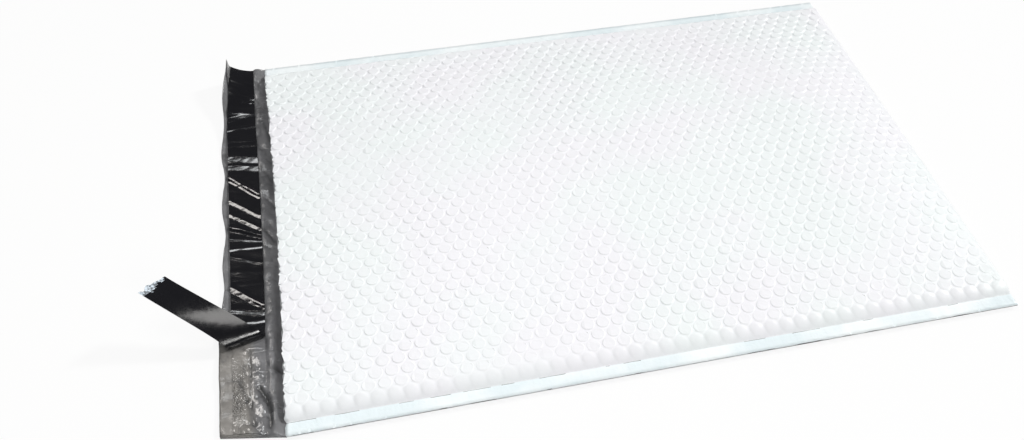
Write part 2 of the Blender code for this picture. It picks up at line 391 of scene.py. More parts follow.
def new_piece(name, mesh, materials, nodes):
    """Turns a finished mesh into a piece that stands for a node."""
    data = bpy.data.meshes.new(name)
    mesh.to_mesh(data)
    mesh.free()
    for finish in materials:
        data.materials.append(finish)
    piece = bpy.data.objects.new(name, data)
    bpy.context.scene.collection.objects.link(piece)
    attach(piece, "root")
    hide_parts(*nodes)
    return piece


def bubble_cell(mesh, pitch):
    """One bubble and the film round it, on a hexagon that tiles the sheet."""
    bmesh.ops.create_circle(mesh, cap_ends=True, segments=6, radius=pitch / math.sqrt(3))
    bmesh.ops.subdivide_edges(mesh, edges=mesh.edges[:], cuts=1)
    cap = mesh.faces[:]
    for radius, height in ((BUBBLE_FOOT, 0.0), (BUBBLE_TOP, 1.0)):
        rim = bmesh.ops.inset_individual(mesh, faces=cap, thickness=pitch * 0.04)["faces"]
        for vert in cap[0].verts:
            level = Vector((vert.co.x, vert.co.y, 0)).normalized() * radius * pitch
            vert.co = Vector((level.x, level.y, height))
    soften(rim)


def everything(mesh):
    return mesh.verts[:] + mesh.edges[:] + mesh.faces[:]


def only_verts(geometry):
    return [item for item in geometry if isinstance(item, bmesh.types.BMVert)]


def repeat(mesh, count, step):
    """Repeats everything in the mesh count times along a step."""
    first = everything(mesh)
    for index in range(1, count):
        copy = bmesh.ops.duplicate(mesh, geom=first)["geom"]
        bmesh.ops.translate(mesh, verts=only_verts(copy), vec=Vector(step) * index)


def bubble_sheet(length, half_width, columns):
    """Flat sheet of bubbles from x = 0 to length, cut straight on all four sides."""
    pitch = length / columns
    row = pitch * math.sqrt(3) / 2
    pairs = math.ceil(half_width / row / 2)
    sheet = bmesh.new()
    bubble_cell(sheet, pitch)
    repeat(sheet, 2, (-pitch / 2, row, 0))
    repeat(sheet, columns + 2, (pitch, 0, 0))
    bmesh.ops.translate(sheet, verts=sheet.verts[:], vec=(0, -2 * row * pairs, 0))
    repeat(sheet, 2 * pairs + 1, (0, 2 * row, 0))
    bmesh.ops.remove_doubles(sheet, verts=sheet.verts[:], dist=pitch / 100)
    planes = (((0, 0, 0), (-1, 0, 0)), ((length, 0, 0), (1, 0, 0)),
              ((0, half_width, 0), (0, 1, 0)), ((0, -half_width, 0), (0, -1, 0)))
    for spot, normal in planes:
        bmesh.ops.bisect_plane(sheet, geom=everything(sheet), dist=pitch / 1000, plane_co=spot,
                               plane_no=normal, clear_outer=True)
    return sheet


def border(mesh, axis, value):
    """Open edges of the mesh on one line, such as x = 0."""
    near = 1e-6
    return [edge for edge in mesh.edges if edge.is_boundary
            and all(abs(vert.co[axis] - value) < near for vert in edge.verts)]


def draw_out(mesh, edges, points):
    """Extrudes a chain of edges through successive offsets and gives the last chain."""
    for offset in points:
        made = bmesh.ops.extrude_edge_only(mesh, edges=edges)["geom"]
        edges = [item for item in made if isinstance(item, bmesh.types.BMEdge)]
        bmesh.ops.translate(mesh, verts=only_verts(made), vec=offset)
    return edges


def steps(count, length):
    """Equal offsets along the web that add up to a length."""
    return [Vector((length / count, 0, 0))] * count


def bubble_strength(x, y, pitch):
    """How full each bubble is: uneven over the sheet, pressed flat towards the seams."""
    cell = Vector((round(x / pitch * 2) * 3.7, round(y / pitch * 2) * 5.3, 0.5))
    full = BUBBLE_FULL + BUBBLE_UNEVEN * noise.noise(cell) + BUBBLE_PATCHES * wander(x, y, 9, 8.2)
    far = 1 + BUBBLE_FAR_GAIN * ease(y / BUBBLE_FAR_RUN)
    inward = ease((SEAM_Y - abs(y)) / BUBBLE_SEAM_RUN)
    return far * clamp(full, BUBBLE_LEAST, BUBBLE_MOST) * lerp(BUBBLE_AT_SEAM, 1.0, inward)


def scallop(y):
    """Small waves of the mouth's cut edge."""
    wave = MOUTH_SCALLOP * math.cos(2 * math.pi * y / MOUTH_SCALLOP_LENGTH)
    return wave + MOUTH_RAGGED * noise.noise(Vector((0.4, y * 120, 6.6)))


def crimp(x, y):
    """Fine crush marks of the sealed bands."""
    return CRIMP_HEIGHT * wander(x, y, 160, 1.7)


def ridged(x, y, scale, seed):
    """Noise whose zero lines are sharp valleys, from 0 to about 1."""
    return min(1.0, 2.2 * abs(wander(x, y, scale, seed)))


# Creases of the flap's film: from one point to the other, height, half width
CREASES = (
    ((-0.3163, -0.148), (-0.3160, -0.207), -0.0008, 0.0013),
    ((-0.3097, -0.190), (-0.3050, -0.202), -0.0022, 0.0035),
    ((-0.3050, -0.202), (-0.3020, -0.213), -0.0022, 0.0035),
    ((-0.3020, -0.213), (-0.3038, -0.229), -0.0018, 0.0030),
    ((-0.3248, -0.177), (-0.3194, -0.200), -0.0009, 0.0028),
    ((-0.3194, -0.200), (-0.3143, -0.226), -0.0009, 0.0028),
    ((-0.3024, -0.168), (-0.2937, -0.176), -0.0014, 0.0025),
    ((-0.3175, -0.147), (-0.2957, -0.151), 0.0010, 0.0030),
    ((-0.3150, -0.172), (-0.3050, -0.174), 0.0008, 0.0055),
    ((-0.3010, -0.106), (-0.2950, -0.100), 0.0006, 0.0030),
    ((-0.3026, -0.131), (-0.2984, -0.120), 0.0006, 0.0030),
    ((-0.3004, -0.040), (-0.2994, -0.041), 0.0007, 0.0030),
    ((-0.2951, -0.051), (-0.2941, -0.053), 0.0007, 0.0030),
    ((-0.2979, -0.062), (-0.2974, -0.065), 0.0007, 0.0030),
    ((-0.3000, -0.163), (-0.2964, -0.167), 0.0005, 0.0032),
    ((-0.2960, 0.150), (-0.2900, 0.118), -0.0012, 0.0030),
    ((-0.3010, 0.084), (-0.2920, 0.060), -0.0012, 0.0030),
    ((-0.2990, 0.040), (-0.2890, 0.020), -0.0010, 0.0026),
    ((-0.2950, 0.108), (-0.2910, 0.101), 0.0010, 0.0028),
    ((-0.3000, -0.006), (-0.2920, -0.024), -0.0010, 0.0028),
)


def creased(x, y):
    """Height of the single creases, each straight and sharp along its middle."""
    height = 0.0
    spot = Vector((x, y))
    for start, end, tall, half in CREASES:
        start, run = Vector(start), Vector(end) - Vector(start)
        along = clamp((spot - start).dot(run) / run.length_squared)
        height += tall * max(0.0, 1 - (spot - start - run * along).length / half)
    return height


def bent_x(x, y):
    """Place along X with a slow wander, so that crumples don't run straight."""
    return x + CRUMPLE_BEND * wander(x, y, 30, 9.1)


def folds(x, y):
    """Crumples of middle size, whose valleys also get painted shade."""
    return ridged(bent_x(x, y), y * 0.8, 75, 2.5)


def crumple(x, y):
    """Height of the creased film of the flap over its flat form, never negative."""
    inner = MOUTH_X - FLAP_DEPTH + STRIP_MARGIN + STRIP_WIDTH
    beside = ease((x - inner) / STRIP_SIDE_RUN)
    beside += CRUMPLE_AT_EDGE * ease((FLAP_X + STRIP_MARGIN - x) / STRIP_SIDE_RUN)
    bare = ease((LINER_PEELED - SIDE_Y - y) / BARE_RUN)
    depth = lerp(CRUMPLE_UNDER_STRIP, 1, max(beside, CRUMPLE_WHERE_BARE * bare))
    settled = ease((lip_x(y) - x) / LIP_RUN)
    rough = CRUMPLE_BROAD * ridged(bent_x(x, y), y * 0.7, 34, 5.5) + CRUMPLE_MIDDLE * folds(x, y)
    rough += CRUMPLE_FINE * ridged(bent_x(x, y), y, 190, 7.5)
    body = BARE_RISE * ease((LINER_PEELED + BARE_RISE_RUN - SIDE_Y - y) / BARE_RISE_RUN)
    return settled * max(body + depth * rough + creased(x, y), 0.0)


def crease_shade(x, y):
    """How much painted shade the folded film gets in its valleys and creases, from 0 to 1."""
    valley = (1 - folds(x, y)) ** VALLEY_SHARPNESS
    return clamp(VALLEY_DARK * valley - creased(x, y) / CREASE_DARK)


def paint_crease_shade(mesh):
    """Stores the painted shade of each point of the flap's folds for the finishes to read."""
    painted_shade = mesh.verts.layers.float.new("painted_crease_shade")
    for vert in mesh.verts:
        if vert.co.x < lip_x(vert.co.y):
            vert[painted_shade] = crease_shade(vert.co.x, vert.co.y)


def principled(name, colour, roughness, **settings):
    """New material, with its node tree and its shader."""
    finish = bpy.data.materials.new(name)
    finish.use_nodes = True
    tree = finish.node_tree
    shader = tree.nodes["Principled BSDF"]
    shader.inputs["Base Color"].default_value = (*colour, 1.0)
    shader.inputs["Roughness"].default_value = roughness
    for socket, value in settings.items():
        shader.inputs[socket.replace("_", " ")].default_value = value
    return finish, tree, shader


def object_noise(tree, scale, detail=3.0, stretch=(1, 1, 1)):
    """Noise pattern in the object's own coordinates."""
    place = tree.nodes.new("ShaderNodeTexCoord")
    mapping = tree.nodes.new("ShaderNodeMapping")
    mapping.inputs["Scale"].default_value = stretch
    pattern = tree.nodes.new("ShaderNodeTexNoise")
    pattern.inputs["Scale"].default_value = scale
    pattern.inputs["Detail"].default_value = detail
    tree.links.new(place.outputs["Object"], mapping.inputs["Vector"])
    tree.links.new(mapping.outputs["Vector"], pattern.inputs["Vector"])
    return pattern.outputs["Fac"]


def add_bump(tree, shader, height, distance, strength=1.0, under=None):
    """Roughens the shader with a height pattern, over another bump where one is given."""
    bump = tree.nodes.new("ShaderNodeBump")
    bump.inputs["Distance"].default_value = distance
    bump.inputs["Strength"].default_value = strength
    tree.links.new(height, bump.inputs["Height"])
    if under:
        tree.links.new(under, bump.inputs["Normal"])
    tree.links.new(bump.outputs["Normal"], shader.inputs["Normal"])
    return bump.outputs["Normal"]


def tint(tree, factor, low, high, ends=(0.3, 0.7)):
    """Colour that varies between two tones with a pattern."""
    ramp = tree.nodes.new("ShaderNodeValToRGB")
    ramp.color_ramp.elements[0].position = ends[0]
    ramp.color_ramp.elements[1].position = ends[1]
    ramp.color_ramp.elements[0].color = (*low, 1.0)
    ramp.color_ramp.elements[1].color = (*high, 1.0)
    tree.links.new(factor, ramp.inputs["Fac"])
    return ramp.outputs["Color"]


def shade(colour, factor):
    """The colour, darker or lighter by a factor."""
    return tuple(channel * factor for channel in colour)


def vary_roughness(tree, shader, factor, low, high):
    """Lets the roughness run from low to high with a pattern."""
    spread = tree.nodes.new("ShaderNodeMapRange")
    spread.inputs["To Min"].default_value = low
    spread.inputs["To Max"].default_value = high
    tree.links.new(factor, spread.inputs["Value"])
    tree.links.new(spread.outputs["Result"], shader.inputs["Roughness"])


def white_film(colour):
    finish, tree, shader = principled("white_film", colour, 0.38)
    red, green, blue = colour
    cool, violet = (red * 0.975, green * 1.005, blue), (red, green * 0.985, blue * 1.01)
    broad = object_noise(tree, 9.0, 2.0)
    tree.links.new(tint(tree, broad, violet, cool, (0.40, 0.62)), shader.inputs["Base Color"])
    soft = add_bump(tree, shader, object_noise(tree, 260.0, 3.0), 0.0004, 0.35)
    add_bump(tree, shader, object_noise(tree, 1400.0, 2.0), 0.00008, 0.30, soft)
    vary_roughness(tree, shader, object_noise(tree, 55.0, 3.0), 0.38, 0.52)
    return finish


def sealed_film(colour):
    finish, tree, shader = principled("sealed_film", colour, 0.40)
    patches = object_noise(tree, 16.0, 3.0)
    white = tuple(lerp(channel, 1.0, 0.45) for channel in colour)
    tree.links.new(tint(tree, patches, colour, white, (0.42, 0.60)), shader.inputs["Base Color"])
    add_bump(tree, shader, object_noise(tree, 420.0, 3.0), 0.0004, 0.45)
    return finish


def within(tree, axis, start, end):
    """Goes from 0 to 1 as the object's own coordinate runs from start to end."""
    place = tree.nodes.new("ShaderNodeTexCoord")
    split = tree.nodes.new("ShaderNodeSeparateXYZ")
    spread = tree.nodes.new("ShaderNodeMapRange")
    spread.inputs["From Min"].default_value = start
    spread.inputs["From Max"].default_value = end
    tree.links.new(place.outputs["Object"], split.inputs["Vector"])
    tree.links.new(split.outputs[axis], spread.inputs["Value"])
    return spread.outputs["Result"]


def product(tree, *factors):
    """Multiplies patterns with one another."""
    total = factors[0]
    for factor in factors[1:]:
        times = tree.nodes.new("ShaderNodeMath")
        times.operation = "MULTIPLY"
        tree.links.new(total, times.inputs[0])
        tree.links.new(factor, times.inputs[1])
        total = times.outputs["Value"]
    return total


def bare_end(tree, shader, plain, tacky):
    """Colours the flap's film, warmer where the adhesive's bare end shines on it, with painted
    shade in its folds.
    """
    pattern = object_noise(tree, 60.0, 5.0)
    mix = tree.nodes.new("ShaderNodeMix")
    mix.data_type = "RGBA"
    share = product(tree, within(tree, "X", *BARE_X), within(tree, "Y", *BARE_Y))
    tree.links.new(share, mix.inputs["Factor"])
    tree.links.new(tint(tree, pattern, shade(plain, 0.82), shade(plain, 1.22)), mix.inputs["A"])
    tree.links.new(tint(tree, pattern, shade(tacky, 0.80), shade(tacky, 1.20)), mix.inputs["B"])
    # Painted shade: the stored amount darkens the film in its folds and crumple valleys
    painted_shade = tree.nodes.new("ShaderNodeAttribute")
    painted_shade.attribute_name = "painted_crease_shade"
    dark = tree.nodes.new("ShaderNodeMix")
    dark.data_type = "RGBA"
    dark.inputs["B"].default_value = (*shade(plain, 0.35), 1.0)
    tree.links.new(painted_shade.outputs["Fac"], dark.inputs["Factor"])
    tree.links.new(mix.outputs["Result"], dark.inputs["A"])
    tree.links.new(dark.outputs["Result"], shader.inputs["Base Color"])


def grey_film(colour, tacky):
    finish, tree, shader = principled("grey_film", colour, 0.26)
    bare_end(tree, shader, colour, tacky)
    soft = add_bump(tree, shader, object_noise(tree, 90.0, 4.0, (1, 0.6, 1)), 0.0012, 0.45)
    add_bump(tree, shader, object_noise(tree, 420.0, 3.0), 0.0003, 0.40, soft)
    vary_roughness(tree, shader, object_noise(tree, 120.0, 3.0), 0.16, 0.34)
    return finish


def lining_film(colour):
    finish, tree, shader = principled("bubble_film", colour, 0.26)
    tree.links.new(tint(tree, object_noise(tree, 60.0), shade(colour, 0.8), shade(colour, 1.2)),
                   shader.inputs["Base Color"])
    add_bump(tree, shader, object_noise(tree, 300.0), 0.0003, 0.3)
    return finish


def sticky(colour, film):
    finish, tree, shader = principled("clear_adhesive", colour, 0.20, Specular_IOR_Level=0.8)
    bare_end(tree, shader, film, colour)
    ripples = add_bump(tree, shader, object_noise(tree, 160.0, 4.0), 0.0018, 0.16)
    stringy = product(tree, object_noise(tree, 640.0, 1.0), within(tree, "X", *STRINGY_X),
                      within(tree, "Y", *STRINGY_FAR_Y), within(tree, "Y", *STRINGY_NEAR_Y))
    add_bump(tree, shader, stringy, 0.0021, 1.0, ripples)
    vary_roughness(tree, shader, object_noise(tree, 210.0, 2.0), 0.06, 0.26)
    return finish


def liner_black(colour):
    finish, tree, shader = principled("black_liner", colour, 0.12, Specular_IOR_Level=0.8)
    soft = add_bump(tree, shader, object_noise(tree, 60.0, 2.0, (1, 1.6, 1)), 0.0010, 0.12)
    add_bump(tree, shader, object_noise(tree, 300.0, 2.0), 0.00015, 0.20, soft)
    vary_roughness(tree, shader, object_noise(tree, 90.0, 3.0), 0.08, 0.20)
    return finish


def torn_end(colour):
    finish, tree, shader = principled("torn_end", colour, 0.5)
    streaks = object_noise(tree, 500.0, 4.0)
    tree.links.new(tint(tree, streaks, shade(colour, 0.18), colour, (0.42, 0.58)),
                   shader.inputs["Base Color"])
    add_bump(tree, shader, object_noise(tree, 700.0), 0.0004, 0.5)
    return finish


class ENVELOPE_OT_film(Operator):
    """Unroll the web flat, press the bubbles into it and fold it into pouch and flap"""
    bl_idname = "envelope.film"
    bl_label = "Outer film"

    def execute(self, context):
        sizes = context.scene.envelope_sizes
        colours = context.scene.envelope_colours
        length = bend_x(0.0) - lip_x(0.0)
        pitch = length / sizes.bubble_columns
        mesh = bubble_sheet(length, SEAM_Y, sizes.bubble_columns)
        panel = set(mesh.faces)
        for side in (1, -1):
            rest = (SEAM_WIDTH - SEAM_SHADOW_ROW) / 3
            band = [Vector((0, side * width, 0)) for width in (SEAM_SHADOW_ROW, rest, rest, rest)]
            draw_out(mesh, border(mesh, 1, side * SEAM_Y), band)
        outer = mesh.verts.layers.int.new("outer")
        chain = border(mesh, 0, length)
        for count in (FOLD_STATIONS, BACK_STATIONS, FLAP_STATIONS):
            chain = draw_out(mesh, chain, steps(count, length))
        for vert in mesh.verts:
            vert[outer] = 1
        lip = border(mesh, 0, 0.0)
        chain = draw_out(mesh, chain, [Vector((0, 0, -1))])
        for edge in chain:
            for vert in edge.verts:
                vert[outer] = 0
        bmesh.ops.subdivide_edges(mesh, edges=chain, cuts=1)
        chain = [edge for edge in mesh.edges
                 if edge.is_boundary and not any(vert[outer] for vert in edge.verts)]
        for count in INNER_STATIONS:
            chain = draw_out(mesh, chain, steps(count, -length))
        bmesh.ops.bridge_loops(mesh, edges=lip + chain)
        for side in (1, -1):
            rim = border(mesh, 1, side * SIDE_Y)
            for start in (0.0, FRONT_END, FOLD_END, BACK_END):
                self.close_rim(mesh, rim, outer, start * length, (start + 1) * length)
        flat = SEAM_Y - SHOULDER_WIDTH
        soften(face for face in mesh.faces
               if face not in panel or abs(face.calc_center_median().y) > flat)
        for face in mesh.faces:
            face.material_index = self.finish(face, outer, BACK_END * length)
        for vert in mesh.verts:
            self.fold(vert, outer, length, pitch, sizes)
        paint_crease_shade(mesh)
        bmesh.ops.recalc_face_normals(mesh, faces=mesh.faces[:])
        finishes = [white_film(colours.film), grey_film(colours.inside, colours.adhesive),
                    sealed_film(colours.sealed)]
        new_piece("envelope_film", mesh, finishes, ["outer_film"])
        return {"FINISHED"}

    def finish(self, face, outer, flap_start):
        """White outside, grey inside, with broken painted shadow along the near seam's inner edge.
        """
        faces_out = [vert[outer] for vert in face.verts]
        if not any(faces_out):
            return GREY
        middle = face.calc_center_median()
        broken = noise.noise(Vector((middle.x * 60, middle.y * 9, 2.2)))
        if not all(faces_out):
            # The flap's edge and the mouth's lip take the inner face's grey; on the lip this grey
            # also paints the shadow line under it. Seam rims turn grey at nicks.
            dark = abs(middle.y) < SEAM_Y or middle.x > flap_start or broken > RIM_NICKS
            return GREY if dark else WHITE
        if abs(middle.y) < SEAM_Y:
            return WHITE
        # Painted shadow: a broken grey line along the inner edge of the near seam only
        line = middle.y < 0 and abs(middle.y) < SEAM_Y + SEAM_SHADOW_ROW
        return GREY if line and broken > LINE_FADE * middle.x + LINE_GAPS else SEALED

    def close_rim(self, mesh, rim, outer, start, end):
        """Joins the web's outer and inner face along one stretch of a side."""
        stretch = []
        for edge in rim:
            one, other = edge.verts
            middle = (one.co.x + other.co.x) / 2
            if one[outer] == other[outer] and start < middle < end:
                stretch.append(edge)
        bmesh.ops.bridge_loops(mesh, edges=stretch)

    def fold(self, vert, outer, length, pitch, sizes):
        """Moves one point of the flat web to its place."""
        x, y, relief = vert.co
        station = x / length
        if vert[outer]:
            outward = 0.0
            if station <= FRONT_END:
                outward = relief * bubble_strength(x, y, pitch) * sizes.bubble_rise
            if abs(y) > SEAM_Y:
                outward += crimp(x, y)
        else:
            outward = -sizes.film - LIP_SPREAD * ease(x / LIP_SPREAD_RUN) * (station < BACK_END)
            if station > BACK_END:
                outward -= crumple(*web_point(station, y, 0).xy)
        vert.co = web_point(station, y, outward)
        at_mouth = 1 - abs(x) / (pitch / 4)
        if at_mouth > 0:
            vert.co.x += at_mouth * scallop(y)


class ENVELOPE_OT_lining(Operator):
    """Make the bubble lining inside the film, scalloped where its bubbles are cut at the mouth"""
    bl_idname = "envelope.lining"
    bl_label = "Bubble lining"

    def execute(self, context):
        colours = context.scene.envelope_colours
        half_width = LINING_BOX[1].y
        stations = [step * LINING_MOUTH_STEP for step in range(LINING_MOUTH_STATIONS)]
        stations += LINING_STATIONS
        path = [("front", share) for share in stations]
        path += [("arc", turn / LINING_TURNS) for turn in range(1, LINING_TURNS)]
        path += [("back", share) for share in reversed(stations)]
        mesh = bmesh.new()
        bmesh.ops.create_grid(mesh, x_segments=len(path) - 1, y_segments=LINING_LANES, size=0.5)
        inner_side = bmesh.ops.duplicate(mesh, geom=everything(mesh))["geom"]
        inner_verts = set(only_verts(inner_side))
        for vert in mesh.verts:
            part, share = path[round((vert.co.x + 0.5) * (len(path) - 1))]
            vert.co = self.place(part, share, vert.co.y * 2 * half_width, vert in inner_verts)
        bmesh.ops.bridge_loops(mesh, edges=[edge for edge in mesh.edges if edge.is_boundary])
        bmesh.ops.recalc_face_normals(mesh, faces=mesh.faces[:])
        soften(mesh.faces)
        piece = new_piece("bubble_lining_sheet", mesh, [lining_film(colours.lining)],
                          ["bubble_lining"])
        return {"FINISHED"}

    def place(self, part, share, y, inside):
        """Point of the lining: its outer face is bubbled, its inner face smooth."""
        free = ease((LINING_BOX[1].y - abs(y)) / LINING_EDGE_RUN)
        x = lerp(lip_x(y), bend_x(y), share)
        across = math.cos(2 * math.pi * y / LINING_ROW)
        dents = 0.5 - 0.5 * across * math.cos(2 * math.pi * (x - MOUTH_X) / LINING_PITCH)
        depth = LINING_INSET + LINING_DENT * dents * free
        if inside:
            depth = LINING_INSET + lerp(LINING_SEALED_WALL, LINING_WALL, free)
        if part == "arc":
            radius = max(fold_thickness(y) / 2 - depth, LINING_GAP)
            angle = math.pi * share
            return Vector((bend_x(y) + radius * math.sin(angle), y,
                           underside(y) + fold_thickness(y) / 2 + radius * math.cos(angle)))
        if share == 0.0:
            x -= LINING_SCALLOP - LINING_SCALLOP_DEPTH * dents
        low = underside(y)
        middle = low + pouch_thickness(x, y) / 2
        if part == "front":
            return Vector((x, y, max(low + pouch_thickness(x, y) - depth, middle + LINING_GAP)))
        return Vector((x, y, min(low + depth, middle - LINING_GAP)))


def strip_shares(y, lanes, inset=0.0):
    """Shares of the flap's depth across the strip, from its outer to its inner edge."""
    corner = ease((y - SIDE_Y + CORNER_LENGTH) / CORNER_LENGTH)
    outer = 1 - (lerp(STRIP_MARGIN, CORNER_MARGIN, corner) + inset) / FLAP_DEPTH
    inner = 1 - (STRIP_MARGIN + STRIP_WIDTH - inset) / FLAP_DEPTH
    return [lerp(outer, inner, lane / lanes) for lane in range(lanes + 1)]


def ribbon(rows, thickness):
    """Closed strip of even thickness through rows of points across it."""
    lanes = len(rows[0]) - 1
    mesh = bmesh.new()
    bmesh.ops.create_grid(mesh, x_segments=len(rows) - 1, y_segments=lanes, size=0.5)
    for vert in mesh.verts:
        row = round((vert.co.x + 0.5) * (len(rows) - 1))
        lane = round((vert.co.y + 0.5) * lanes)
        vert.co = rows[row][lane]
    bmesh.ops.recalc_face_normals(mesh, faces=mesh.faces[:])
    bmesh.ops.solidify(mesh, geom=mesh.faces[:], thickness=thickness)
    bmesh.ops.recalc_face_normals(mesh, faces=mesh.faces[:])
    soften(mesh.faces)
    for edge in mesh.edges:
        if edge.calc_face_angle() > SHARP_ANGLE:
            edge.smooth = False
    return mesh


class ENVELOPE_OT_adhesive(Operator):
    """Lay the adhesive strip on the flap"""
    bl_idname = "envelope.adhesive"
    bl_label = "Adhesive strip"

    def execute(self, context):
        colours = context.scene.envelope_colours
        reach = SIDE_Y - STRIP_END_MARGIN
        rows = []
        for step in range(ADHESIVE_ROWS + 1):
            y = lerp(-reach, reach, step / ADHESIVE_ROWS)
            row = []
            for lane, share in enumerate(strip_shares(y, ADHESIVE_LANES, ADHESIVE_INSET)):
                inward = ease(min(lane, ADHESIVE_LANES - lane) / ADHESIVE_EDGE_LANES)
                point = flap_point(share, y, lerp(ADHESIVE_EDGE, ADHESIVE_TOP, inward))
                point.z += crumple(point.x, point.y)
                row.append(point)
            rows.append(row)
        mesh = ribbon(rows, ADHESIVE_THICKNESS)
        paint_crease_shade(mesh)
        finishes = [sticky(colours.adhesive, colours.inside)]
        new_piece("adhesive", mesh, finishes, ["adhesive_strip"])
        return {"FINISHED"}


# Crosswise wrinkles of the liner: Y at its outer and its inner edge, height, half width
WRINKLES = (
    (0.222, 0.216, 0.30, 0.0040), (0.204, 0.193, 0.30, 0.0030), (0.196, 0.187, 0.25, 0.0028),
    (0.178, 0.172, 0.60, 0.0105), (0.152, 0.150, 0.28, 0.0050), (0.133, 0.126, 0.16, 0.0026),
    (0.125, 0.118, 0.18, 0.0026),
    (0.076, 0.042, 0.85, 0.0060), (0.042, 0.012, 0.45, 0.0040), (0.022, -0.005, 0.50, 0.0040),
    (0.003, -0.014, 0.75, 0.0050), (-0.013, -0.021, 0.25, 0.0028), (-0.027, -0.028, 0.26, 0.0038),
    (-0.037, -0.050, 0.36, 0.0032), (-0.056, -0.060, 0.16, 0.0050), (-0.076, -0.103, 0.70, 0.0054),
    (-0.103, -0.109, 0.36, 0.0064), (-0.121, -0.119, 0.24, 0.0045),
)

# Broad slanting faces of the liner: Y of the crest at its outer and its inner edge, height, run
# to the near foot; the run to the far foot is shorter by the factor BACK_RUN
BACK_RUN = 0.4
FACES = ((0.1075, 0.0975, 0.98, 0.0085), (0.0940, 0.0840, 0.80, 0.0070))

# How high the wrinkles are and how uneven, and the fine ones all over the liner
WRINKLE_EVEN = 0.9
WRINKLE_UNEVEN = 0.4
WRINKLE_FINE = 0.07


def wrinkled(share, y):
    """Height of the liner's wrinkles, in wrinkle heights; share runs across the strip."""
    height = 0.0
    faces = 0.0
    for outer, inner, tall, run in FACES:
        past = (lerp(outer, inner, share) - y) / run
        faces += tall * (1 - clamp(past if past > 0 else -past / BACK_RUN))
    for outer, inner, tall, half in WRINKLES:
        away = abs(y - lerp(outer, inner, share)) / half
        height += tall * (0.5 + 0.5 * math.cos(math.pi * min(away, 1.0)))
    uneven = WRINKLE_EVEN + WRINKLE_UNEVEN * noise.noise(Vector((share * 1.6, y * 30, 6.0)))
    return height * uneven + faces + WRINKLE_FINE * ridged(share * 0.012, y, 130, 4.0)


def bezier(points, share):
    """Point of a cubic curve through its four control points."""
    a, b, c, d = points
    rest = 1 - share
    return a * rest ** 3 + b * 3 * rest ** 2 * share + c * 3 * rest * share ** 2 + d * share ** 3


def peeled_edge(start, bend, rise, tail):
    """One edge of the peeled end: round the bend, then up along the free tail."""
    turn = start + bend
    end = turn + tail
    round_bend = (start, start + Vector((0, bend.y, 0)), turn - rise / 3, turn)
    free = (turn, turn + rise, end - TAIL_RUN, end)
    points = [bezier(round_bend, step / BEND_ROWS) for step in range(1, BEND_ROWS + 1)]
    return points + [bezier(free, step / TAIL_ROWS) for step in range(1, TAIL_ROWS + 1)]


class ENVELOPE_OT_liner(Operator):
    """Lay the wrinkled release liner, with its near end peeled back"""
    bl_idname = "envelope.liner"
    bl_label = "Release liner"

    def execute(self, context):
        colours = context.scene.envelope_colours
        rows = self.stuck_rows(context.scene.envelope_sizes.wrinkle)
        outer = peeled_edge(rows[-1][0], OUTER_BEND, OUTER_RISE, OUTER_TAIL)
        inner = peeled_edge(rows[-1][-1], INNER_BEND, INNER_RISE, INNER_TAIL)
        for left, right in zip(outer, inner):
            rows.append([left.lerp(right, lane / LINER_LANES) for lane in range(LINER_LANES + 1)])
        run = TAIL_RUN.normalized()
        for point in rows[-1]:
            point += run * TORN_DEPTH * noise.noise(point * 260)
        mesh = ribbon(rows, LINER_THICKNESS)
        end = rows[-1][LINER_LANES // 2]
        for face in mesh.faces:
            middle = face.calc_center_median()
            short = (middle - end).dot(run) + TORN_RAGGED * noise.noise(middle * 150)
            torn = short > -TORN_DEPTH and (middle - end).length < STRIP_WIDTH
            face.material_index = TORN if torn else BLACK
        finishes = [liner_black(colours.liner), torn_end(colours.torn)]
        new_piece("liner", mesh, finishes, ["release_liner"])
        return {"FINISHED"}

    def stuck_rows(self, wrinkle):
        """Rows of points across the part that is still on the adhesive, from the far end."""
        reach = SIDE_Y - STRIP_END_MARGIN
        peel_y = LINER_PEELED - reach
        rows = []
        for step in range(LINER_ROWS + 1):
            along = step / LINER_ROWS
            row = []
            shares = strip_shares(lerp(reach, peel_y, along), LINER_LANES)
            middle = flap_point(shares[LINER_LANES // 2], lerp(reach, peel_y, along))
            for lane, share in enumerate(shares):
                end_y = peel_y - PEEL_SKEW * (1 - lane / LINER_LANES)
                y = lerp(reach, end_y, along)
                point = flap_point(share, y, LINER_HEIGHT)
                settle = ease((LINER_ROWS - step) / LINER_SETTLE_ROWS)
                bed = crumple(lerp(point.x, middle.x, LINER_EVENED), point.y)
                cover = LINER_COVER + LINER_FOLLOWS * bed
                point.z += cover + wrinkle * wrinkled(lane / LINER_LANES, y) * settle
                row.append(point)
            rows.append(row)
        return rows


